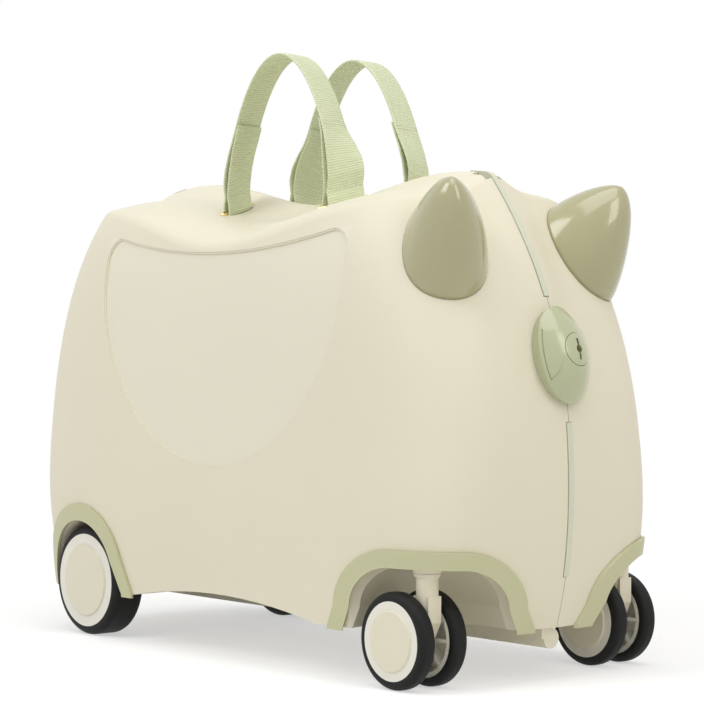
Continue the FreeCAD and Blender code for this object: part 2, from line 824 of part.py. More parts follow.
def make_arches(name, side):
    """The two trims over the wheel wells of one half, seated on the shell's surface."""
    skin = trim_skin(side)
    body = half_block(-V("trim_gap"), side)
    back = V("arch_half_span")
    front = skin.common(corner_prism(0.0, side, back)).cut(corner_prism(V("arch_band"), side, back)).cut(body)
    inner = V("strap_y")
    rear_outer = rear_prism(rear_well_radius() + V("rear_arch_band"), side, inner)
    rear = skin.common(rear_outer).cut(rear_prism(rear_well_radius(), side, inner)).cut(body)
    for end, shape in (("front", front), ("rear", rear)):
        keep("%s_%s_arch" % (name, end), max(shape.Solids, key=lambda s: s.Volume))


def make_horn(name, side, body):
    """Blunt round horn that stands on the shoulder, cut to the shell's surface."""
    length, radius = V("horn_length"), V("horn_radius")
    count = 16
    points = []
    for k in range(count + 1):
        share = math.sin(math.pi / 2 * k / count)
        swell = (1 - share ** V("horn_taper_power")) ** V("horn_tip_power")
        points.append(Vector(radius * swell, 0, length * share))
    root = Vector(radius, 0, -V("horn_root"))
    foot = Vector(0, 0, root.z)
    curve = Part.BSplineCurve()
    curve.interpolate(points)
    edges = [curve.toShape()]
    edges += [Part.LineSegment(a, b).toShape() for a, b in ((points[-1], foot), (foot, root), (root, points[0]))]
    horn = Part.Face(Part.Wire(edges)).revolve(Vector(0, 0, 0), Vector(0, 0, 1), 360)
    horn.Placement = Placement(horn_base(side), Rotation(Vector(0, 0, 1), horn_axis(side)))
    start = along_horn(side, -V("horn_boss_depth"))
    hole = rod(start, along_horn(side, V("horn_screw_reach")), V("horn_screw_radius"))
    seat = body.translated(horn_axis(side) * V("trim_gap"))
    horn = horn.cut(seat).cut(body).cut(hole)
    keep(name + "_horn", max(horn.Solids, key=lambda s: s.Volume))


def make_screws(name, side):
    """All screws of one half: one for the horn and two for each catch plate."""
    seat = along_horn(side, -V("horn_boss_depth"))
    tip = along_horn(side, V("horn_screw_reach"))
    head = rod(along_horn(side, -V("horn_boss_depth") - V("wall")), seat, V("horn_screw_head"))
    solids = [rod(seat, tip, V("horn_screw_radius")).fuse(head)]
    for end in ENDS.values():
        facing = 1.0 if catch_holder(end) == side else -1.0
        solids += [placed(screw, catch_placement(end)) for screw in catch_screws(facing)]
    keep(name + "_screws", Part.makeCompound(solids))


def make_trims(seam):
    """Seam strips of both ends, carried by the left half."""
    for end_name, end in ENDS.items():
        for trim_name, strip in trim_strips(seam, end, 0.0).items():
            keep("%s_%s_trim" % (end_name, trim_name), strip)


def make_catch(end_name, end, bodies):
    """One catch: base and pin on the half that carries it, keeper on the other, cover, button and barrel."""
    place = catch_placement(end)
    holder = catch_holder(end)
    screws = catch_screws(1.0)
    lift = place.Rotation.multVec(Vector(V("trim_gap"), 0, 0))
    seats = {half: [body, body.translated(lift)] for half, body in bodies.items()}
    inside = box((-FAR, -FAR, -FAR), (FAR, V("catch_base_edge"), FAR))
    base = catch_plate(1.0).common(inside)
    for lug in catch_lugs():
        base = base.fuse(lug)
    base = placed(base, place)
    for seat in seats[holder]:
        base = base.cut(seat)
    for tool in [catch_pin_rod(V("catch_pin_radius") + V("seat_clearance"))] + screws:
        base = base.cut(placed(tool, place))
    keep(end_name + "_catch_base", max(base.Solids, key=lambda s: s.Volume))
    keeper = placed(catch_plate(-1.0), place)
    for seat in seats[-holder]:
        keeper = keeper.cut(seat)
    for tool in catch_screws(-1.0):
        keeper = keeper.cut(placed(tool, place))
    keep(end_name + "_keeper", max(keeper.Solids, key=lambda s: s.Volume))
    keep(end_name + "_catch_pin", placed(catch_pin_rod(V("catch_pin_radius")), place))

    gap = V("thrust_gap")
    cover = oval(0.0, V("catch_under"), 2 * V("catch_crown")).common(crown(0.0))
    cover = cover.cut(button_prism(V("button_edge") - gap, gap, 0.0))
    axis_y, axis_z = V("barrel_y"), V("barrel_z")
    top = 2 * V("catch_crown")
    cover = cover.cut(rod((0, axis_y, axis_z), (top, axis_y, axis_z), V("barrel_radius") + gap))
    reach = V("catch_lug_radius") + V("moving_gap")
    pin_y, pin_height = V("catch_pin_y"), V("catch_pin_height")
    for turn in (-1, 1):
        inner = turn * (V("catch_lug_inner") - V("moving_gap"))
        outer = turn * (V("catch_lug_inner") + V("catch_lug_width") + V("moving_gap"))
        low, high = min(inner, outer), max(inner, outer)
        cover = cover.cut(box((0, pin_y - reach, low), (pin_height + reach, pin_y + FAR / 10, high)))
    cover = cover.cut(catch_pin_rod(V("catch_pin_radius") + V("running_clearance")))
    keep(end_name + "_catch_cover", placed(max(cover.Solids, key=lambda s: s.Volume), place))

    button = button_prism(V("button_edge"), 0.0, V("button_under")).common(crown(V("button_proud")))
    keep(end_name + "_catch_button", placed(button, place))

    barrel = rod((V("button_under"), axis_y, axis_z), (top, axis_y, axis_z), V("barrel_radius"))
    barrel = barrel.common(crown(V("barrel_proud")))
    floor = V("catch_crown") - V("keyhole_depth")
    slot, arm = V("keyhole_slot") / 2, V("keyhole_reach")
    barrel = barrel.cut(rod((floor, axis_y, axis_z), (top, axis_y, axis_z), V("keyhole_radius")))
    barrel = barrel.cut(box((floor, axis_y - slot, axis_z - arm), (top, axis_y + slot, axis_z + arm)))
    keep(end_name + "_key_barrel", placed(barrel, place))


def make_strap_bars(name, side):
    """Two wire bars with bent ends that hold one strap; their legs sit in the shell."""
    keep(name + "_strap_bars", Part.makeCompound([strap_bar(side, place, 0.0) for place in (-1, 1)]))


def strap_section(centre, across, through):
    """Rectangle of the webbing at one point of its run."""
    a, b = across * (V("strap_width") / 2), through * (V("strap_thickness") / 2)
    corners = [centre + a + b, centre - a + b, centre - a - b, centre + a - b]
    return Part.makePolygon(corners + corners[:1])


def strap_disc(side, x, way):
    """Round webbing end about the strap's swing axis, from one side of the lap outwards along way."""
    start = Vector(x, side * V("strap_y"), V("strap_pivot"))
    return rod(start, start + Vector(way * V("strap_thickness"), 0, 0), V("strap_width") / 2)


def make_strap_loops(name, side):
    """Sewn ends of one strap: a loop round each bar with a tab that stands up beside the strap's leg."""
    half, thickness, gap = V("strap_width") / 2, V("strap_thickness"), V("strap_lap_gap")
    y, pivot = side * V("strap_y"), V("strap_pivot")
    waist = pivot - half
    solids = []
    for place in (-1, 1):
        spot, along = strap_spot(side, place), strap_run(side, place, 1.0)
        face = place * (V("strap_x") + gap / 2)
        middle = face + place * thickness / 2
        xs = sorted((face, face + place * thickness))
        foot = strap_section(spot, along * V("strap_foot"), along.cross(Vector(0, 0, 1)).normalize())
        neck = strap_section(Vector(middle, y, waist), Vector(0, -side, 0), Vector(-side, 0, 0))
        tab = Part.makeLoft([foot, neck], True, True)
        tab = tab.fuse(box((xs[0], y - half, waist), (xs[1], y + half, pivot)))
        tab = tab.fuse(strap_disc(side, face, place))
        loop = tab.fuse(strap_rod(side, place, strap_loop_radius(), half))
        solids.append(loop.cut(strap_bar(side, place, V("seat_clearance"))))
    keep(name + "_strap_loops", Part.makeCompound(solids))


def make_strap(name, side):
    """Carry strap: a tall arch of webbing, flat across the case, whose round lower ends lap the loops' tabs."""
    lap = V("strap_x") - V("strap_lap_gap") / 2
    reach, rise_height = lap - V("strap_thickness") / 2, V("strap_top") - V("strap_pivot")
    lift = 2.0 / V("strap_arch_power")
    across = Vector(0, 1, 0)
    sections = []
    count = 16
    for k in range(count + 1):
        turn = math.pi * k / count
        swell = max(math.sin(turn), 1e-6)
        centre = Vector(-reach * math.cos(turn), side * V("strap_y"), V("strap_pivot") + rise_height * swell ** lift)
        slope = rise_height * lift * swell ** (lift - 1) * math.cos(turn)
        tangent = Vector(reach * swell, 0, slope).normalize()
        sections.append(strap_section(centre, across, tangent.cross(across)))
    strap = Part.makeLoft(sections, True, False)
    for place in (-1, 1):
        strap = strap.fuse(strap_disc(side, place * lap, -place))
    keep(name + "_strap", strap)


# turned and padded pieces, drawn as sketches whose sizes follow the sheet

def origin_plane(body, role):
    """A body's own origin plane."""
    return next(f for f in body.Origin.OriginFeatures if f.Role == role)


def sketch_on(body, name, role):
    """Empty sketch on a body's own origin plane."""
    sketch = body.newObject("Sketcher::SketchObject", name)
    sketch.AttachmentSupport = (origin_plane(body, role), [""])
    sketch.MapMode = "FlatFace"
    return sketch


def tie(sketch, kind, geometry, vertex, size):
    """Tie one coordinate of a sketch point to a size."""
    axis = -2 if kind == "DistanceX" else -1
    if size.value == 0.0:
        sketch.addConstraint(Sketcher.Constraint("PointOnObject", geometry, vertex, axis))
        return
    index = sketch.addConstraint(Sketcher.Constraint(kind, -1, 1, geometry, vertex, size.value))
    sketch.setExpression("Constraints[%d]" % index, size.expression)


def draw_polygon(sketch, points):
    """Closed outline whose every corner follows two sizes."""
    points = [(as_size(a), as_size(b)) for a, b in points]
    spots = [Vector(a.value, b.value, 0) for a, b in points]
    for start, end in zip(spots, spots[1:] + spots[:1]):
        sketch.addGeometry(Part.LineSegment(start, end), False)
    for k in range(len(points)):
        sketch.addConstraint(Sketcher.Constraint("Coincident", k, 2, (k + 1) % len(points), 1))
    for k, (a, b) in enumerate(points):
        tie(sketch, "DistanceX", k, 1, a)
        tie(sketch, "DistanceY", k, 1, b)


def draw_circle(sketch, x, y, radius):
    """Circle whose centre and radius follow sizes."""
    x, y = as_size(x), as_size(y)
    circle = Part.Circle(Vector(x.value, y.value, 0), Vector(0, 0, 1), radius.value)
    index = sketch.addGeometry(circle, False)
    tie(sketch, "DistanceX", index, 3, x)
    tie(sketch, "DistanceY", index, 3, y)
    row = sketch.addConstraint(Sketcher.Constraint("Radius", index, radius.value))
    sketch.setExpression("Constraints[%d]" % row, radius.expression)


def new_body(label, place):
    """Body under its own label, at its place in the case."""
    body = doc.addObject("PartDesign::Body", label)
    body.Label = label
    body.Placement = place
    made.append(body)
    return body


def turned(body, name, points):
    """Revolution of an outline of radius and height about the body's own upright axis."""
    sketch = sketch_on(body, name + "_outline", "XZ_Plane")
    draw_polygon(sketch, points)
    feature = body.newObject("PartDesign::Revolution", name)
    feature.Profile = sketch
    feature.ReferenceAxis = (sketch, ["V_Axis"])
    feature.Angle = 360.0
    doc.recompute()
    return feature


def padded(body, name, role, draw, length, midplane):
    """Pad of a sketch that draw fills in."""
    sketch = sketch_on(body, name + "_outline", role)
    draw(sketch)
    feature = body.newObject("PartDesign::Pad", name)
    feature.Profile = sketch
    feature.Length = length.value
    feature.setExpression("Length", length.expression)
    feature.Midplane = midplane
    doc.recompute()
    return feature


def drilled(body, name, role, draw, length):
    """Pocket of a sketch that draw fills in, cut both ways from its plane."""
    before = body.Shape.Volume
    sketch = sketch_on(body, name + "_outline", role)
    draw(sketch)
    feature = body.newObject("PartDesign::Pocket", name)
    feature.Profile = sketch
    feature.Length = length.value
    feature.setExpression("Length", length.expression)
    feature.Midplane = True
    doc.recompute()
    assert body.Shape.Volume < before, name
    return feature


def rounded(body, name, base, radius, test):
    """Fillet on the edges of a feature that pass a test."""
    names = ["Edge%d" % (k + 1) for k, edge in enumerate(base.Shape.Edges) if test(edge)]
    feature = body.newObject("PartDesign::Fillet", name)
    feature.Base = (base, names)
    feature.Radius = radius.value
    feature.setExpression("Radius", radius.expression)
    doc.recompute()
    return feature


def is_ring(radius):
    """Test for round edges of one radius."""
    return lambda edge: isinstance(edge.Curve, Part.Circle) and abs(edge.Curve.Radius - radius) < 1e-6


def make_wheel(label, place, kind):
    """One wheel: tyre, ribbed hub and cap. The body's own axis points out of the wheel's outer face."""
    radius, width = S(kind + "_radius"), S(kind + "_wheel_width")
    seat = S(kind + "_hub_radius")
    cap_radius = S(kind + "_cap_radius")
    bore = S(kind + "_axle_radius") + S("running_clearance")
    boss = bore + S("hub_boss_wall")
    face, floor = width, width - S("cap_seat")
    web = floor - S("hub_web")
    rim = seat - S("hub_rim")

    tyre = new_body(label + "_tyre", place)
    outer = turned(tyre, label + "_tyre_ring", [(seat, 0), (radius, 0), (radius, width), (seat, width)])
    rounded(tyre, label + "_tyre_shoulder", outer, S(kind + "_shoulder"), is_ring(radius.value))

    hub = new_body(label + "_hub", place)
    hub_radius = seat - S("seat_clearance")
    inner = S("thrust_gap")
    outline = [(bore, 0), (boss, 0), (boss, web), (rim, web), (rim, inner), (hub_radius, inner), (hub_radius, face)]
    outline += [(cap_radius, face), (cap_radius, floor), (bore, floor)]
    turned(hub, label + "_hub_body", outline)
    half = S("hub_rib") * 0.5
    start, end = boss - S("hub_rim") * 0.5, rim + S("hub_rim") * 0.5
    corners = [(start, -half), (end, -half), (end, half), (start, half)]
    rib = padded(hub, label + "_hub_rib", "XY_Plane", lambda s: draw_polygon(s, corners), web, False)
    ribs = hub.newObject("PartDesign::PolarPattern", label + "_hub_ribs")
    ribs.Originals = [rib]
    ribs.Axis = (rib.Profile[0], ["N_Axis"])
    ribs.Angle = 360.0
    ribs.Occurrences = 8
    hub.Tip = ribs
    doc.recompute()

    cap = new_body(label + "_cap", place)
    lip = S("cap_rise")
    rim_radius = cap_radius - S("seat_clearance")
    top = face + lip
    turned(cap, label + "_cap_disc", [(0, floor), (rim_radius, floor), (rim_radius, face), (rim_radius - lip, top), (0, top)])


def facing(side):
    """Rotation that turns a wheel's own axis out to one side."""
    return Rotation(Vector(1, 0, 0), -90.0 * side)


def make_caster(name, side):
    """Swivel caster: fork, kingpin, axle and two wheels, trailing behind its stem."""
    label = name + "_caster"
    stem = Placement(Vector(V("caster_stem_x"), side * V("caster_stem_y"), 0), Rotation())
    trail, height = -S("caster_trail"), S("caster_radius")
    stem_radius, boss = S("caster_stem_radius"), S("caster_axle_radius") + S("hub_boss_wall") + S("hub_rib")
    top = S("socket_height") - S("thrust_gap")

    fork = new_body(label + "_fork", stem)
    knee, web_top = height + stem_radius * 1.7, top - stem_radius * 2.0
    heel, toe = trail - boss, trail + boss
    web = [(stem_radius, web_top), (stem_radius, knee), (toe, height - boss), (heel, height - boss)]
    web += [(heel, height + boss), (-stem_radius, knee + boss), (-stem_radius, web_top)]
    padded(fork, label + "_web", "XZ_Plane", lambda s: draw_polygon(s, web), S("caster_web"), True)
    boss_width = (S("caster_wheel_inset") - S("thrust_gap")) * 2.0
    padded(fork, label + "_boss", "XZ_Plane", lambda s: draw_circle(s, trail, height, boss), boss_width, True)
    collar = S("caster_collar_radius")
    rim = top - S("caster_collar")
    neck = rim - (collar - stem_radius)
    stem_line = [(0, knee), (stem_radius, knee), (stem_radius, neck), (collar, rim), (collar, top), (0, top)]
    turned(fork, label + "_stem", stem_line)
    bore = S("caster_axle_radius") + S("seat_clearance")
    drilled(fork, label + "_axle_hole", "XZ_Plane", lambda s: draw_circle(s, trail, height, bore), boss_width * 2.0)
    pin_hole = S("kingpin_radius") + S("seat_clearance")
    depth = S("kingpin_bite")
    sketch = sketch_on(fork, label + "_kingpin_hole_outline", "XZ_Plane")
    draw_polygon(sketch, [(0, top - depth), (pin_hole, top - depth), (pin_hole, top), (0, top)])
    hole = fork.newObject("PartDesign::Groove", label + "_kingpin_hole")
    hole.Profile = sketch
    hole.ReferenceAxis = (sketch, ["V_Axis"])
    hole.Angle = 360.0
    doc.recompute()

    pin = new_body(label + "_kingpin", stem)
    seat = S("socket_top") + S("thrust_gap")
    head, shank = S("kingpin_head_radius"), S("kingpin_radius")
    head_top = seat + S("kingpin_head")
    pin_line = [(0, top - depth), (shank, top - depth), (shank, seat), (head, seat), (head, head_top), (0, head_top)]
    turned(pin, label + "_kingpin_body", pin_line)

    reach = S("caster_wheel_inset") + S("caster_wheel_width") - S("cap_seat") - S("axle_end_gap")
    axle = doc.addObject("Part::Cylinder", label + "_axle")
    axle.Label = label + "_axle"
    axle.setExpression("Radius", S("caster_axle_radius").expression)
    axle.setExpression("Height", (reach * 2.0).expression)
    spot = Vector(V("caster_stem_x") - V("caster_trail"), side * V("caster_stem_y") - reach.value, V("caster_radius"))
    axle.Placement = Placement(spot, Rotation(Vector(1, 0, 0), -90.0))
    made.append(axle)

    for wheel, way in (("outer", side), ("inner", -side)):
        y = side * V("caster_stem_y") + way * V("caster_wheel_inset")
        spot = Vector(V("caster_stem_x") - V("caster_trail"), y, V("caster_radius"))
        make_wheel("%s_%s" % (label, wheel), Placement(spot, facing(way)), "caster")


def make_rear_wheel(name, side):
    """Fixed rear wheel on its stub axle."""
    inner = V("rear_wheel_outer") - V("rear_wheel_width")
    spot = Vector(V("rear_axle_x"), side * inner, V("rear_radius"))
    make_wheel(name + "_rear", Placement(spot, facing(side)), "rear")
    start = S("rear_well_side") - S("rear_boss_length")
    end = S("rear_wheel_outer") - S("cap_seat") - S("axle_end_gap")
    axle = doc.addObject("Part::Cylinder", name + "_rear_axle")
    axle.Label = name + "_rear_axle"
    axle.setExpression("Radius", S("rear_axle_radius").expression)
    axle.setExpression("Height", (end - start).expression)
    axle.Placement = Placement(Vector(V("rear_axle_x"), side * start.value, V("rear_radius")), facing(side))
    made.append(axle)


def make_hinge_pin():
    """Steel rod through all knuckles."""
    half = S("hinge_half_length") - S("hinge_end_wall")
    pin = doc.addObject("Part::Cylinder", "hinge_pin")
    pin.Label = "hinge_pin"
    pin.setExpression("Radius", S("hinge_pin_radius").expression)
    pin.setExpression("Height", (half * 2.0).expression)
    pin.Placement = Placement(Vector(-half.value, 0, V("hinge_height")), Rotation(Vector(0, 1, 0), 90.0))
    made.append(pin)


bodies = {side: outer_half(side) for side in SIDES.values()}
seam = seam_points(bodies[SIDES["left"]])
for side_name, side in SIDES.items():
    make_shell(side_name + "_shell", side, bodies[side], seam)
    make_arches(side_name, side)
    make_horn(side_name, side, bodies[side])
    make_screws(side_name, side)
    make_strap_bars(side_name, side)
    make_strap_loops(side_name, side)
    make_strap(side_name, side)
    make_caster(side_name, side)
    make_rear_wheel(side_name, side)
make_hinge_pin()
make_trims(seam)
for end_name, end in ENDS.items():
    make_catch(end_name, end, bodies)
doc.recompute()

faults = [o.Label for o in doc.Objects if "Invalid" in o.State or "Error" in o.State]
faults += [o.Label for o in made if o.Shape.isNull() or not o.Shape.isValid() or not o.Shape.Solids]
if faults:
    raise RuntimeError("faulty pieces: " + ", ".join(faults))

os.makedirs("parts", exist_ok=True)
for piece in made:
    piece.Shape.exportStep(os.path.join("parts", piece.Label + ".step"))
    print("%-32s solids %d  volume %.0f" % (piece.Label, len(piece.Shape.Solids), piece.Shape.Volume))
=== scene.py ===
import json
import math

import bmesh
import bpy
import numpy as np
from mathutils import Matrix, Vector
from mathutils.bvhtree import BVHTree


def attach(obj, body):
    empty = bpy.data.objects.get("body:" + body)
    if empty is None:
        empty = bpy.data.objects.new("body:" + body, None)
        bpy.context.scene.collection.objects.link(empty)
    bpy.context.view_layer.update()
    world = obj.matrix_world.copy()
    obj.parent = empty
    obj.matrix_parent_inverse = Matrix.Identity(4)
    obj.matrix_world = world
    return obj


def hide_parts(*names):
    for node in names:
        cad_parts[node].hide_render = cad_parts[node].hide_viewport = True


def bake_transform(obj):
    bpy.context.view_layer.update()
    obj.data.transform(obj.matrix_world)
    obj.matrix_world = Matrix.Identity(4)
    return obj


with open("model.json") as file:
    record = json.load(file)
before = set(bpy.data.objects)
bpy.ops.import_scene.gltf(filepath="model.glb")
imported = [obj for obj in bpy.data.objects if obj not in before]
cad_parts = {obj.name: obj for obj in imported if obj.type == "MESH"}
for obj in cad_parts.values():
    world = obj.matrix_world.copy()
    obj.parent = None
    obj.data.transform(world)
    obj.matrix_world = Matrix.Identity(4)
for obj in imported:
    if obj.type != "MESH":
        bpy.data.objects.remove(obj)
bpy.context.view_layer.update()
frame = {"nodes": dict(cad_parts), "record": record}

MM = 0.001
SIDES = {"left": 1.0, "right": -1.0}


# shared shader groups; scales are per metre

EDGE_SAMPLES, EDGE_GAIN = 4, 6.0
SPECK_DEPTH, RUB_SCALE, RUB_POLISH = 0.03, 60.0, 0.15
RIB_SHARE, THREAD_SHARE, FIBRE_SHARE = 0.65, 0.35, 0.2
FIBRE_SCALE, FADE_SCALE = 1400.0, 45.0
WEAVE_ROUGHNESS, THREAD_POLISH = 0.95, 0.12

def new_group(name, inputs, outputs):
    """Shader node group with named inputs and outputs; each input is (name, kind, value)."""
    group = bpy.data.node_groups.new(name, "ShaderNodeTree")
    for label, kind, value in inputs:
        socket = group.interface.new_socket(label, in_out="INPUT", socket_type=kind)
        socket.default_value = value
    for label, kind in outputs:
        group.interface.new_socket(label, in_out="OUTPUT", socket_type=kind)
    return group, group.nodes.new("NodeGroupInput"), group.nodes.new("NodeGroupOutput")


def feed(tree, socket, value):
    """Sets a socket to a number or colour, or links an output to it."""
    if hasattr(value, "is_output"):
        tree.links.new(value, socket)
    else:
        socket.default_value = value


def math_node(tree, operation, a, b=0.0):
    """Math node on two numbers or sockets."""
    node = tree.nodes.new("ShaderNodeMath")
    node.operation = operation
    feed(tree, node.inputs[0], a)
    feed(tree, node.inputs[1], b)
    return node.outputs[0]


def mix_colours(tree, blend, factor, a, b):
    """Colour mix of two colours or sockets."""
    node = tree.nodes.new("ShaderNodeMix")
    node.data_type = "RGBA"
    node.blend_type = blend
    for socket, value in ((node.inputs[0], factor), (node.inputs[6], a), (node.inputs[7], b)):
        feed(tree, socket, value)
    return node.outputs[2]


def noise(tree, place, scale, detail):
    """Noise texture value at a place; the scale is a number or a socket."""
    node = tree.nodes.new("ShaderNodeTexNoise")
    node.inputs["Detail"].default_value = detail
    tree.links.new(place, node.inputs["Vector"])
    feed(tree, node.inputs["Scale"], scale)
    return node.outputs["Fac"]


def edge_mask(tree, radius):
    """1 along edges sharper than a radius, 0 on open faces, from the rounded normal."""
    rounded = tree.nodes.new("ShaderNodeBevel")
    rounded.samples = EDGE_SAMPLES
    feed(tree, rounded.inputs["Radius"], radius)
    plain = tree.nodes.new("ShaderNodeNewGeometry")
    dot = tree.nodes.new("ShaderNodeVectorMath")
    dot.operation = "DOT_PRODUCT"
    tree.links.new(rounded.outputs["Normal"], dot.inputs[0])
    tree.links.new(plain.outputs["Normal"], dot.inputs[1])
    sharp = math_node(tree, "SUBTRACT", 1.0, dot.outputs["Value"])
    return math_node(tree, "MINIMUM", math_node(tree, "MULTIPLY", sharp, EDGE_GAIN), 1.0)


def make_moulded_group():
    """Moulded plastic: a fine spark-eroded grain, slow tone drift, and edges rubbed paler and smoother."""
    group, source, sink = new_group(
        "moulded_finish",
        [("Colour", "NodeSocketColor", (0.8, 0.8, 0.8, 1)),
         ("Worn Colour", "NodeSocketColor", (0.9, 0.9, 0.9, 1)),
         ("Grain Scale", "NodeSocketFloat", 900.0), ("Tone Scale", "NodeSocketFloat", 9.0),
         ("Tone Depth", "NodeSocketFloat", 0.04), ("Roughness", "NodeSocketFloat", 0.5),
         ("Roughness Drift", "NodeSocketFloat", 0.10), ("Wear", "NodeSocketFloat", 0.35),
         ("Edge Radius", "NodeSocketFloat", 0.0009)],
        [("Colour", "NodeSocketColor"), ("Roughness", "NodeSocketFloat"), ("Height", "NodeSocketFloat")])
    links = group.links
    place = group.nodes.new("ShaderNodeTexCoord").outputs["Object"]
    grain = noise(group, place, source.outputs["Grain Scale"], 3.0)
    swing = math_node(group, "SUBTRACT", noise(group, place, source.outputs["Tone Scale"], 4.0), 0.5)
    bright = math_node(group, "ADD", math_node(group, "MULTIPLY", swing, source.outputs["Tone Depth"]), 1.0)
    speck = math_node(group, "ADD", math_node(group, "MULTIPLY", grain, SPECK_DEPTH), 1.0 - SPECK_DEPTH / 2)
    bright = math_node(group, "MULTIPLY", bright, speck)
    shade = group.nodes.new("ShaderNodeCombineColor")
    for channel in ("Red", "Green", "Blue"):
        links.new(bright, shade.inputs[channel])
    tinted = mix_colours(group, "MULTIPLY", 1.0, source.outputs["Colour"], shade.outputs["Color"])
    patch = math_node(group, "MULTIPLY", noise(group, place, RUB_SCALE, 3.0), source.outputs["Wear"])
    rub = math_node(group, "MULTIPLY", edge_mask(group, source.outputs["Edge Radius"]), patch)
    links.new(mix_colours(group, "MIX", rub, tinted, source.outputs["Worn Colour"]), sink.inputs["Colour"])
    rough = math_node(group, "MULTIPLY", swing, source.outputs["Roughness Drift"])
    rough = math_node(group, "ADD", rough, source.outputs["Roughness"])
    rough = math_node(group, "SUBTRACT", rough, math_node(group, "MULTIPLY", rub, RUB_POLISH))
    links.new(rough, sink.inputs["Roughness"])
    links.new(grain, sink.inputs["Height"])
    return group


def make_webbing_group():
    """Woven webbing: thick ribs across the band over fine threads along it.

    The first map coordinate runs along the band and the second across it, both in millimetres.  The rib
    height is a cosine of the first at the rib pitch, the thread height a cosine of the second at the
    thread pitch, set half a pitch over on every other rib.  The colour runs from the groove colour, which is
    painted shade for the hollows of the weave, at low height to the rib colour at the tops.
    """
    group, source, sink = new_group(
        "webbing_weave",
        [("Rib Colour", "NodeSocketColor", (0.6, 0.6, 0.5, 1)),
         ("Groove Shade Colour", "NodeSocketColor", (0.4, 0.4, 0.3, 1)),
         ("Rib Pitch", "NodeSocketFloat", 1.6), ("Thread Pitch", "NodeSocketFloat", 0.62),
         ("Tone Depth", "NodeSocketFloat", 0.12)],
        [("Colour", "NodeSocketColor"), ("Roughness", "NodeSocketFloat"), ("Height", "NodeSocketFloat")])
    links = group.links
    place = group.nodes.new("ShaderNodeTexCoord")
    split = group.nodes.new("ShaderNodeSeparateXYZ")
    links.new(place.outputs["UV"], split.inputs[0])
    turns = math_node(group, "DIVIDE", split.outputs[0], source.outputs["Rib Pitch"])
    rib = math_node(group, "COSINE", math_node(group, "MULTIPLY", turns, 2 * math.pi))
    rib = math_node(group, "ADD", math_node(group, "MULTIPLY", rib, 0.5), 0.5)
    odd = math_node(group, "MODULO", math_node(group, "FLOOR", math_node(group, "ADD", turns, 0.5)), 2.0)
    across = math_node(group, "DIVIDE", split.outputs[1], source.outputs["Thread Pitch"])
    across = math_node(group, "ADD", across, math_node(group, "MULTIPLY", odd, 0.5))
    thread = math_node(group, "COSINE", math_node(group, "MULTIPLY", across, 2 * math.pi))
    thread = math_node(group, "ADD", math_node(group, "MULTIPLY", thread, 0.5), 0.5)
    height = math_node(group, "ADD", math_node(group, "MULTIPLY", rib, RIB_SHARE),
                       math_node(group, "MULTIPLY", thread, THREAD_SHARE))
    fibre = noise(group, place.outputs["Object"], FIBRE_SCALE, 3.0)
    height = math_node(group, "ADD", height, math_node(group, "MULTIPLY", fibre, FIBRE_SHARE))
    links.new(height, sink.inputs["Height"])
    # painted shade: the colour darkens from the rib colour to the groove colour where the weave is low
    weave_with_groove_shade = mix_colours(group, "MIX", math_node(group, "MINIMUM", height, 1.0),
                        source.outputs["Groove Shade Colour"], source.outputs["Rib Colour"])
    swing = math_node(group, "SUBTRACT", noise(group, place.outputs["Object"], FADE_SCALE, 3.0), 0.5)
    bright = math_node(group, "ADD", math_node(group, "MULTIPLY", swing, source.outputs["Tone Depth"]), 1.0)
    shade = group.nodes.new("ShaderNodeCombineColor")
    for channel in ("Red", "Green", "Blue"):
        links.new(bright, shade.inputs[channel])
    links.new(mix_colours(group, "MULTIPLY", 1.0, weave_with_groove_shade, shade.outputs["Color"]), sink.inputs["Colour"])
    smooth = math_node(group, "MULTIPLY", thread, THREAD_POLISH)
    links.new(math_node(group, "SUBTRACT", WEAVE_ROUGHNESS, smooth), sink.inputs["Roughness"])
    return group


MOULDED = make_moulded_group()
WOVEN = make_webbing_group()


# materials

def new_material(name):
    """Empty node material with one Principled BSDF."""
    material = bpy.data.materials.new(name)
    material.use_nodes = True
    return material, material.node_tree, material.node_tree.nodes["Principled BSDF"]


def place_group(tree, shader, group, values, bump):
    """Places a finish group with its own values and links its colour, roughness and bump to the shader."""
    finish = tree.nodes.new("ShaderNodeGroup")
    finish.node_tree = group
    for label, value in values.items():
        finish.inputs[label].default_value = value
    tree.links.new(finish.outputs["Colour"], shader.inputs["Base Color"])
    tree.links.new(finish.outputs["Roughness"], shader.inputs["Roughness"])
    relief = tree.nodes.new("ShaderNodeBump")
    relief.inputs["Strength"].default_value = 1.0
    relief.inputs["Distance"].default_value = bump
    tree.links.new(finish.outputs["Height"], relief.inputs["Height"])
    tree.links.new(relief.outputs["Normal"], shader.inputs["Normal"])


def moulded(name, colour, roughness, grain=900.0, bump=0.00004, coat=0.0, specular=0.5, wear=0.35):
    """Material of a moulded plastic piece; its rubbed edges are a paler tint of its own colour."""
    material, tree, shader = new_material(name)
    worn = tuple(min(1.0, 0.75 * value + 0.22) for value in colour)
    place_group(tree, shader, MOULDED, {
        "Colour": (*colour, 1), "Worn Colour": (*worn, 1), "Grain Scale": grain,
        "Roughness": roughness, "Wear": wear}, bump)
    shader.inputs["Coat Weight"].default_value = coat
    shader.inputs["Coat Roughness"].default_value = 0.08
    shader.inputs["Specular IOR Level"].default_value = specular
    return material


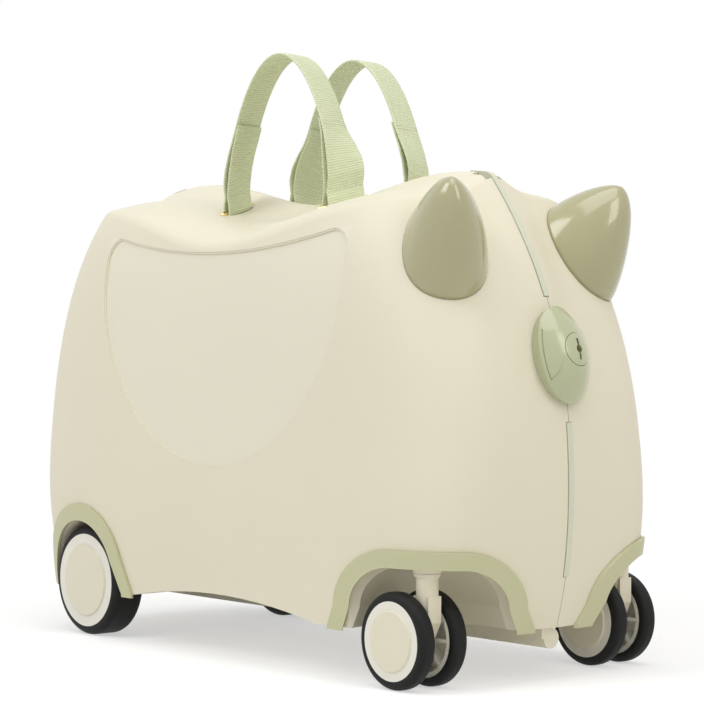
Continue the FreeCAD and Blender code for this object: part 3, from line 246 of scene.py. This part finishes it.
def metal(name, colour, roughness):
    """Material of a plated wire or pin, with fine drawn lines along its length."""
    material, tree, shader = new_material(name)
    place = tree.nodes.new("ShaderNodeTexCoord")
    stretch = tree.nodes.new("ShaderNodeMapping")
    stretch.inputs["Scale"].default_value = (40, 900, 900)
    tree.links.new(place.outputs["Object"], stretch.inputs["Vector"])
    lines = noise(tree, stretch.outputs["Vector"], 1.0, 2.0)
    rough = math_node(tree, "MULTIPLY", lines, 0.15)
    tree.links.new(math_node(tree, "ADD", rough, roughness), shader.inputs["Roughness"])
    dark = tuple(0.7 * value for value in colour)
    tree.links.new(mix_colours(tree, "MIX", lines, (*dark, 1), (*colour, 1)), shader.inputs["Base Color"])
    shader.inputs["Metallic"].default_value = 1.0
    return material


def webbing(name, rib, groove_shade, pitch):
    """Material of the woven handle straps."""
    material, tree, shader = new_material(name)
    # the groove colour is painted shade in the hollows between the ribs
    place_group(tree, shader, WOVEN, {
        "Rib Colour": (*rib, 1), "Groove Shade Colour": (*groove_shade, 1), "Rib Pitch": pitch}, WEAVE_RELIEF)
    shader.inputs["Specular IOR Level"].default_value = 0.25
    shader.inputs["Sheen Weight"].default_value = 0.25
    shader.inputs["Sheen Roughness"].default_value = 0.4
    return material


RIB_PITCH, WEAVE_RELIEF = 1.6, 0.00007
CREAM = moulded("cream_shell", (0.77, 0.725, 0.575), 0.5, wear=0.25)
SAGE = moulded("sage_trim", (0.55, 0.55, 0.34), 0.42)
PALE = moulded("pale_strip", (0.66, 0.68, 0.54), 0.4)
OLIVE = moulded("olive_horn", (0.40, 0.38, 0.21), 0.2, bump=0.00001, coat=0.7)
CATCH = moulded("sage_catch", (0.47, 0.50, 0.31), 0.25, bump=0.00001, coat=0.5)
WHITE = moulded("white_hub", (0.82, 0.80, 0.72), 0.4)
CAP = moulded("cream_cap", (0.77, 0.73, 0.58), 0.4)
FORK = moulded("cream_fork", (0.80, 0.75, 0.59), 0.45)
RUBBER = moulded("tyre_rubber", (0.010, 0.010, 0.010), 0.55, bump=0.00008, specular=0.2, wear=0.08)
STEEL = metal("drawn_steel", (0.62, 0.62, 0.62), 0.25)
BRASS = metal("plated_wire", (0.86, 0.68, 0.34), 0.18)
# the second colour is the painted shade of the weave's grooves
WEB = webbing("sage_webbing", (0.76, 0.80, 0.58), (0.55, 0.61, 0.36), RIB_PITCH)
THREAD = moulded("sewing_thread", (0.76, 0.79, 0.62), 0.8, grain=2500.0, bump=0.00008, wear=0.0)

SLOT_MATERIAL = {
    "shell_plastic": CREAM, "trim_plastic": SAGE, "horn_plastic": OLIVE, "catch_plastic": CATCH,
    "hub_plastic": WHITE, "cap_plastic": CAP, "fork_plastic": FORK, "tyre_rubber": RUBBER,
    "steel": STEEL, "bar_metal": BRASS, "webbing": WEB,
}


PANEL_X, PANEL_Z, PANEL_RADIUS, PANEL_TOP, PANEL_SAG = 4.0, 250.0, 126.0, 259.0, 15.0
PANEL_DEPTH = 60.0


def inside_panel(tree):
    """1 inside the U-shaped side panel, 0 outside: a half circle below its top, and a sagging top line."""
    axes = tree.nodes.new("ShaderNodeSeparateXYZ")
    tree.links.new(tree.nodes.new("ShaderNodeTexCoord").outputs["Object"], axes.inputs[0])
    x = math_node(tree, "SUBTRACT", axes.outputs[0], PANEL_X * MM)
    low = math_node(tree, "MINIMUM", math_node(tree, "SUBTRACT", axes.outputs[2], PANEL_Z * MM), 0.0)
    squares = math_node(tree, "ADD", math_node(tree, "MULTIPLY", x, x), math_node(tree, "MULTIPLY", low, low))
    within = math_node(tree, "LESS_THAN", math_node(tree, "SQRT", squares), PANEL_RADIUS * MM)
    sag = math_node(tree, "MULTIPLY", math_node(tree, "MULTIPLY", x, x), PANEL_SAG / PANEL_RADIUS ** 2 / MM)
    below = math_node(tree, "LESS_THAN", axes.outputs[2], math_node(tree, "ADD", sag, PANEL_TOP * MM))
    outer = math_node(tree, "GREATER_THAN", math_node(tree, "ABSOLUTE", axes.outputs[1]), PANEL_DEPTH * MM)
    return math_node(tree, "MULTIPLY", math_node(tree, "MULTIPLY", within, below), outer)


def tint_panel(material, colour):
    """Gives the side panel its own tone of the shell's plastic."""
    tree = material.node_tree
    finish = next(node for node in tree.nodes if node.type == "GROUP")
    around = tuple(finish.inputs["Colour"].default_value)
    tinted = mix_colours(tree, "MIX", inside_panel(tree), around, (*colour, 1))
    tree.links.new(tinted, finish.inputs["Colour"])


tint_panel(CREAM, (0.785, 0.752, 0.612))


def dress_nodes():
    """Gives every carried-over node the finish of its material slot."""
    slots = {row["node"]: row["material_slot"] for row in frame["record"]["subparts"]}
    for name, node in frame["nodes"].items():
        node.data.materials.clear()
        strip = name.endswith("_tow_trim") or name.endswith("_lower_trim")
        node.data.materials.append(PALE if strip else SLOT_MATERIAL[slots[name]])


# handle straps, in millimetres until the mesh is made

STRAP_Y, BAR_X, BAR_Z = 31.0, 56.0, 291.0
PIVOT_Z, ARCH_RISE, ARCH_REACH, ARCH_POWER = 309.0, 81.0, 54.95, 2 / 1.35
HALF_WIDTH, HALF_THICK = 13.0, 0.9
BAR_TURN, BAR_TILT, ARCH_TURN = 17.0, 14.0, 16.0
STITCH_Z, HEM_Z = 344.0, 301.0
LOOP_RADIUS = 3.15
STEP = RIB_PITCH / 6
ARCH_KNOTS, ARCH_END, LOOP_KNOTS, BAND_SIDES = 24, 34.6, 9, 36
RIB_SWELL, EDGE_SWELL, END_THICKNESS, END_TAPER = 0.09, 0.006, 0.35, 4.0
BEND_LOW, BEND_HIGH = 297.0, 330.0
STITCH_SPOTS, STITCH_RINGS, STITCH_SIDES = 9, 7, 8
STITCH_ROW_GAP, STITCH_SPAN = 2.2, 11.2
STITCH_HALF_LENGTH, STITCH_HALF_WIDTH, STITCH_HALF_THICK, STITCH_LIFT = 1.05, 0.36, 0.3, 0.12


def smooth_run(values, window):
    """Moving mean along a run, with the ends held."""
    pad = np.pad(values, window, mode="edge")
    return np.convolve(pad, np.ones(2 * window + 1) / (2 * window + 1), mode="valid")


def half_run():
    """Knots of half a strap, from the top of the arch to the sewn end behind the front leg.

    The band follows the arch, parts from its own end below the stitches in a slack teardrop, goes round
    the bar and comes up again inside.  Columns: x, z, share of the bar's turn, share of the arch's turn.
    """
    angle = np.radians(np.linspace(90, ARCH_END, ARCH_KNOTS))
    arch = np.stack([ARCH_REACH * np.cos(angle), PIVOT_Z + ARCH_RISE * np.sin(angle) ** ARCH_POWER,
                     np.zeros(ARCH_KNOTS), np.ones(ARCH_KNOTS)], 1)
    outer = np.array([(48.9, 336.5, 0.1, 0.9), (53.4, 328, 0.4, 0.6), (57.2, 319, 0.75, 0.25),
                      (58.9, 311, 0.95, 0.05), (58.4, 305.5, 1, 0), (57.4, 301, 1, 0), (58.6, 297, 1, 0)])
    around = np.radians(np.linspace(0, -180, LOOP_KNOTS))
    loop = np.stack([BAR_X + LOOP_RADIUS * np.cos(around), BAR_Z + LOOP_RADIUS * np.sin(around),
                     np.ones(LOOP_KNOTS), np.zeros(LOOP_KNOTS)], 1)
    inner = np.array([(53.4, 297, 1, 0), (54.6, 301, 1, 0), (54.3, 307, 0.95, 0.05), (52.5, 318, 0.75, 0.25),
                      (49.3, 329, 0.4, 0.6), (46.0, 337, 0.1, 0.9), (43.4, 343.6, 0, 1), (41.8, 347, 0, 1)])
    return np.concatenate([arch, outer, loop, inner])


def strap_frames(side):
    """Places, width directions and face directions along one whole strap, rear end to front end."""
    half = half_run()
    rear = half[::-1] * (-1, 1, 1, 1)
    knots = np.concatenate([rear[:-1], half])
    place = np.sign(knots[:, 0] + 1e-9)
    turn = np.radians(90 + BAR_TURN * place * side * knots[:, 2] + ARCH_TURN * knots[:, 3])
    tilt = np.radians(-side * BAR_TILT * knots[:, 2])
    chord = np.concatenate([[0], np.cumsum(np.hypot(*np.diff(knots[:, :2], axis=0).T))])
    along = np.arange(0, chord[-1], STEP)
    x, z, turn, tilt = (smooth_run(np.interp(along, chord, column), 5)
                        for column in (knots[:, 0], knots[:, 1], turn, tilt))
    centre = np.stack([x, np.full_like(x, side * STRAP_Y), z], 1)
    width = np.stack([np.cos(turn) * np.cos(tilt), np.sin(turn) * np.cos(tilt), np.sin(tilt)], 1)
    run = np.gradient(centre, axis=0)
    face = np.cross(width, run)
    face /= np.linalg.norm(face, axis=1, keepdims=True)
    return along, centre, width, face


def band_profile(count):
    """Section of the band: a rounded flat bar, as across and through offsets round its outline."""
    angle = np.linspace(0, 2 * np.pi, count, endpoint=False)
    across = np.sign(np.cos(angle)) * np.abs(np.cos(angle)) ** 0.25
    through = np.sign(np.sin(angle)) * np.abs(np.sin(angle)) ** 0.45
    return across * HALF_WIDTH, through * HALF_THICK


def mesh_piece(name, points, faces, material):
    """Object at the origin from points in millimetres, with its faces turned outward."""
    mesh = bpy.data.meshes.new(name)
    mesh.from_pydata((points * MM).tolist(), [], faces)
    tidy = bmesh.new()
    tidy.from_mesh(mesh)
    bmesh.ops.recalc_face_normals(tidy, faces=tidy.faces)
    tidy.to_mesh(mesh)
    tidy.free()
    mesh.polygons.foreach_set("use_smooth", np.ones(len(mesh.polygons), dtype=bool))
    mesh.materials.append(material)
    piece = bpy.data.objects.new(name, mesh)
    bpy.context.scene.collection.objects.link(piece)
    return piece


def merge_points(piece):
    """Closes the poles of a grid by merging the points that fall together."""
    tidy = bmesh.new()
    tidy.from_mesh(piece.data)
    bmesh.ops.remove_doubles(tidy, verts=tidy.verts, dist=1e-6)
    bmesh.ops.dissolve_degenerate(tidy, edges=tidy.edges, dist=1e-7)
    bmesh.ops.recalc_face_normals(tidy, faces=tidy.faces)
    tidy.to_mesh(piece.data)
    tidy.free()


def grid_faces(rows, columns):
    """Quads of a grid that closes round its columns."""
    first = np.arange(rows - 1)[:, None] * columns
    here, after = np.arange(columns)[None], np.roll(np.arange(columns), -1)[None]
    corners = [first + here, first + after, first + columns + after, first + columns + here]
    return np.stack(corners, -1).reshape(-1, 4)


def make_strap(name, side):
    """One strap's band: the flat-bar section carried along the run, its faces raised into cross ribs.

    The section is scaled in thickness by 1 plus a small cosine of the length at the rib pitch, and
    thinned toward its sewn ends.
    """
    along, centre, width, face = strap_frames(side)
    across, through = band_profile(BAND_SIDES)
    wave = np.cos(2 * np.pi * along / RIB_PITCH)
    rib = 1 + RIB_SWELL * wave
    rib *= np.clip(END_THICKNESS + np.minimum(along, along[-1] - along) / END_TAPER, 0, 1)
    edge = 1 + EDGE_SWELL * wave
    points = (centre[:, None] + width[:, None] * (across[None] * edge[:, None])[..., None]
              + face[:, None] * (through[None] * rib[:, None])[..., None])
    rows, columns = len(along), len(across)
    faces = grid_faces(rows, columns).tolist()
    faces += [list(range(columns)), list(range((rows - 1) * columns, rows * columns))]
    piece = mesh_piece(name, points.reshape(-1, 3), faces, WEB)
    place = np.stack([np.repeat(along, columns), np.tile(across, rows)], 1)
    corner = np.empty(len(piece.data.loops), dtype=np.int32)
    piece.data.loops.foreach_get("vertex_index", corner)
    piece.data.uv_layers.new(name="weave").data.foreach_set("uv", place[corner].ravel().astype(np.float32))
    return piece


def make_stitches(name, side):
    """Rows of stitches across the band, each a small rounded thread pressed into the face.

    Every stitch is an ellipsoid, long across the band, set in the frame of the run at its row.
    """
    along, centre, width, face = strap_frames(side)
    middle = len(along) // 2
    rows = []
    for height, layers in ((STITCH_Z, (0, 1)), (STITCH_Z - STITCH_ROW_GAP, (0, 1)), (HEM_Z, (0,))):
        for half in (np.arange(middle), np.arange(middle, len(along))):
            outward = half if half[0] else half[::-1]
            crossing = np.where(np.diff(np.sign(centre[outward, 2] - height)) != 0)[0]
            rows += [(outward[crossing[layer]], layer) for layer in layers]
    spots = np.linspace(-STITCH_SPAN, STITCH_SPAN, STITCH_SPOTS)
    turn, rise = np.meshgrid(np.linspace(0, 2 * np.pi, STITCH_SIDES, endpoint=False),
                             np.linspace(-1.45, 1.45, STITCH_RINGS))
    unit = np.stack([np.sin(rise), np.cos(rise) * np.cos(turn), np.cos(rise) * np.sin(turn)], -1)
    unit = unit.reshape(-1, 3)
    centres, axes = [], []
    for index, layer in rows:
        run = np.cross(face[index], width[index])
        outward = np.sign(face[index] @ (centre[index] - (0, side * STRAP_Y, BEND_HIGH))) or 1.0
        lift = face[index] * outward * (HALF_THICK + STITCH_LIFT) * (1 if layer == 0 else -1)
        centres.append(centre[index] + lift + spots[:, None] * width[index])
        stitch = np.stack([STITCH_HALF_LENGTH * width[index], STITCH_HALF_WIDTH * run,
                           STITCH_HALF_THICK * face[index]])
        axes.append(np.repeat(stitch[None], len(spots), 0))
    centres, axes = np.concatenate(centres), np.concatenate(axes)
    points = centres[:, None] + np.einsum("kj,sjc->skc", unit, axes)
    one = grid_faces(STITCH_RINGS, STITCH_SIDES)
    faces = (one[None] + (np.arange(len(centres)) * len(unit))[:, None, None]).reshape(-1, 4).tolist()
    ends = np.arange(STITCH_SIDES)
    for first in range(0, len(centres) * len(unit), len(unit)):
        faces += [(first + ends).tolist(), (first + len(unit) - STITCH_SIDES + ends).tolist()]
    return mesh_piece(name, points.reshape(-1, 3), faces, THREAD)


def make_handles():
    """Both straps with their stitches, baked in place at the origin, with the CAD straps and their loops
    hidden.
    """
    for name, side in SIDES.items():
        strap = make_strap(name + "_webbing", side)
        stitches = make_stitches(name + "_stitches", side)
        for piece in (strap, stitches):
            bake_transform(piece)
        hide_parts(name + "_strap", name + "_strap_loops")


# horns, in millimetres until the mesh is made

HORN_BASE, HORN_LEAN = (173.0, 52.3, 249.2), (0.441, 0.141, 0.78)
HORN_RADIUS, HORN_LENGTH, HORN_TAPER, HORN_TIP = 27.5, 60.2, 1.5, 0.62
HORN_OVAL, HORN_TURN, HORN_BEND = 1.265, -0.185, (-5.5, 6.9)
HORN_GAP, HORN_ABOVE = 0.3, 120.0
HORN_LINES, HORN_ROWS, HORN_SEATINGS = 72, 40, 5
HORN_SOLE = (0.75, 0.5, 0.25, 0.0)


def horn_offset(height, angle, size, first, second):
    """Offset from the horn's straight axis: an oval ring that shrinks to the tip, on a gently bent middle."""
    share = np.clip(height / HORN_LENGTH, 0, 1)
    ring = size * HORN_RADIUS * (1 - share ** HORN_TAPER) ** HORN_TIP
    along_first = HORN_OVAL * ring * np.cos(angle) + HORN_BEND[0] * share ** 2
    along_second = ring * np.sin(angle) + HORN_BEND[1] * share ** 2
    return along_first[..., None] * first + along_second[..., None] * second


def seat_heights(shell, base, axis, spots):
    """Heights on the horn's axis at which lines down along it, at given offsets, meet the shell."""
    starts = (base + spots + axis * HORN_ABOVE) * MM
    return np.array([HORN_ABOVE - shell.ray_cast(Vector(start), Vector(-axis))[3] / MM for start in starts])


def make_horn(name, side):
    """Blunt oval horn seated on its shell.

    Each line of the surface runs from where it meets the shell to the tip; the height goes with the sine
    of the first parameter and the second goes round the oval.  The foot follows the shell's own surface.
    """
    base = np.array(HORN_BASE) * (1, side, 1)
    axis = np.array(HORN_LEAN)
    axis /= np.linalg.norm(axis)
    second = np.cross((0, 0, 1), axis)
    second /= np.linalg.norm(second)
    first = np.cross(axis, second)
    cos, sin = math.cos(HORN_TURN), math.sin(HORN_TURN)
    first, second = first * cos + second * sin, second * cos - first * sin
    axis, first, second = (direction * (1, side, 1) for direction in (axis, first, second))
    shell = BVHTree.FromObject(frame["nodes"][name + "_shell"], bpy.context.evaluated_depsgraph_get())
    angle = np.linspace(0, 2 * np.pi, HORN_LINES, endpoint=False)
    foot = np.zeros_like(angle)
    for _ in range(HORN_SEATINGS):
        foot = seat_heights(shell, base, axis, horn_offset(foot, angle, 1.0, first, second)) + HORN_GAP
    rise = np.sin(np.linspace(0, np.pi / 2, HORN_ROWS))[:, None]
    height = foot + (HORN_LENGTH - foot) * rise
    rows = [base + height[..., None] * axis + horn_offset(height, angle, 1.0, first, second)]
    for size in HORN_SOLE:
        spots = horn_offset(foot, angle, size, first, second)
        level = seat_heights(shell, base, axis, spots) + HORN_GAP
        rows.insert(0, (base + level[:, None] * axis + spots)[None])
    points = np.concatenate(rows)
    faces = grid_faces(*points.shape[:2]).tolist()
    piece = mesh_piece(name + "_horn_form", points.reshape(-1, 3), faces, OLIVE)
    merge_points(piece)
    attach(piece, name + "_half")
    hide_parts(name + "_horn")


dress_nodes()
make_handles()
for horn_name, horn_side in SIDES.items():
    make_horn(horn_name, horn_side)


# camera, floor and light

CAMERA_PLACE, CAMERA_YAW, CAMERA_PITCH = (1.2105, -0.987, 0.212), 39.84, 1.74
CAMERA_LENS, CAMERA_SENSOR, CAMERA_SHIFT = 119.82, 36.0, 0.0662
FLOOR_HALF, FLOOR_LIFT, FLOOR_FADE = 6.0, 0.52, (0.35, 0.9)
SURROUND_LIGHT, SURROUND_SEEN = 0.5, 1.0
TARGET = (0, 0, 0.2)

def make_camera():
    """Camera at the photo's place: the height and turn solved from the photo, with its lens shift."""
    yaw, pitch = math.radians(CAMERA_YAW), math.radians(CAMERA_PITCH)
    view = Vector((-math.cos(yaw) * math.cos(pitch), math.sin(yaw) * math.cos(pitch), -math.sin(pitch)))
    right = view.cross(Vector((0, 0, 1))).normalized()
    up = right.cross(view)
    data = bpy.data.cameras.new("photo_camera")
    data.lens, data.sensor_width, data.shift_y = CAMERA_LENS, CAMERA_SENSOR, CAMERA_SHIFT
    camera = bpy.data.objects.new("photo_camera", data)
    turn = Matrix((right, up, -view)).transposed().to_4x4()
    camera.matrix_world = Matrix.Translation(Vector(CAMERA_PLACE)) @ turn
    bpy.context.scene.collection.objects.link(camera)
    bpy.context.scene.camera = camera


def make_lamp(name, place, size, power, colour):
    """Large soft rectangular lamp that faces the middle of the object."""
    data = bpy.data.lights.new(name, "AREA")
    data.shape = "RECTANGLE"
    data.size, data.size_y = size
    data.energy = power
    data.color = colour
    lamp = bpy.data.objects.new(name, data)
    aim = (Vector(TARGET) - Vector(place)).to_track_quat("-Z", "Y")
    lamp.matrix_world = Matrix.Translation(Vector(place)) @ aim.to_matrix().to_4x4()
    bpy.context.scene.collection.objects.link(lamp)


def direct_rays(tree):
    """1 for rays from the camera, off shiny faces and through clear ones, 0 for light on the object."""
    path = tree.nodes.new("ShaderNodeLightPath")
    direct = math_node(tree, "MAXIMUM", path.outputs["Is Camera Ray"], path.outputs["Is Glossy Ray"])
    return math_node(tree, "MAXIMUM", direct, path.outputs["Is Transmission Ray"])


def make_stage():
    """Plain white floor whose shadow is lightened for the camera, and a white surround that lights softly."""
    corners = [(x * FLOOR_HALF, y * FLOOR_HALF, 0) for x, y in ((-1, -1), (1, -1), (1, 1), (-1, 1))]
    mesh = bpy.data.meshes.new("floor")
    mesh.from_pydata(corners, [], [(0, 1, 2, 3)])
    floor = bpy.data.objects.new("floor", mesh)
    bpy.context.scene.collection.objects.link(floor)
    material, tree, shader = new_material("white_floor")
    shader.inputs["Base Color"].default_value = (0.86, 0.85, 0.83, 1)
    shader.inputs["Roughness"].default_value = 0.9
    shader.inputs["Specular IOR Level"].default_value = 0.1
    shade = tree.nodes.new("ShaderNodeBsdfDiffuse")
    shade.inputs["Color"].default_value = (0.55, 0.55, 0.55, 1)
    lift, white = tree.nodes.new("ShaderNodeEmission"), tree.nodes.new("ShaderNodeEmission")
    lift.inputs["Strength"].default_value = FLOOR_LIFT
    both = tree.nodes.new("ShaderNodeAddShader")
    tree.links.new(shade.outputs[0], both.inputs[0])
    tree.links.new(lift.outputs[0], both.inputs[1])
    place = tree.nodes.new("ShaderNodeTexCoord")
    reach = tree.nodes.new("ShaderNodeVectorMath")
    reach.operation = "LENGTH"
    tree.links.new(place.outputs["Object"], reach.inputs[0])
    fade = tree.nodes.new("ShaderNodeMapRange")
    fade.inputs["From Min"].default_value, fade.inputs["From Max"].default_value = FLOOR_FADE
    tree.links.new(reach.outputs["Value"], fade.inputs["Value"])
    seen, final = tree.nodes.new("ShaderNodeMixShader"), tree.nodes.new("ShaderNodeMixShader")
    for mix, factor, first, second in ((seen, fade.outputs[0], both, white),
                                       (final, direct_rays(tree), shader, seen)):
        tree.links.new(factor, mix.inputs[0])
        tree.links.new(first.outputs[0], mix.inputs[1])
        tree.links.new(second.outputs[0], mix.inputs[2])
    tree.links.new(final.outputs[0], tree.nodes["Material Output"].inputs["Surface"])
    mesh.materials.append(material)
    world = bpy.data.worlds.new("studio")
    bpy.context.scene.world = world
    world.use_nodes = True
    tree = world.node_tree
    glow = tree.nodes["Background"]
    strength = math_node(tree, "MULTIPLY", direct_rays(tree), SURROUND_SEEN - SURROUND_LIGHT)
    tree.links.new(math_node(tree, "ADD", strength, SURROUND_LIGHT), glow.inputs["Strength"])
    glow.inputs["Color"].default_value = (1, 1, 1, 1)


make_camera()
make_stage()
make_lamp("key", (-0.4, -1.6, 1.8), (1.2, 1.0), 16, (1, 1, 1))
make_lamp("top", (0.5, -0.2, 2.0), (1.4, 1.4), 13, (1, 1, 1))
make_lamp("front", (1.7, 0.1, 1.3), (0.6, 1.0), 7, (1, 0.94, 0.84))
bpy.context.scene.view_settings.view_transform = "Standard"
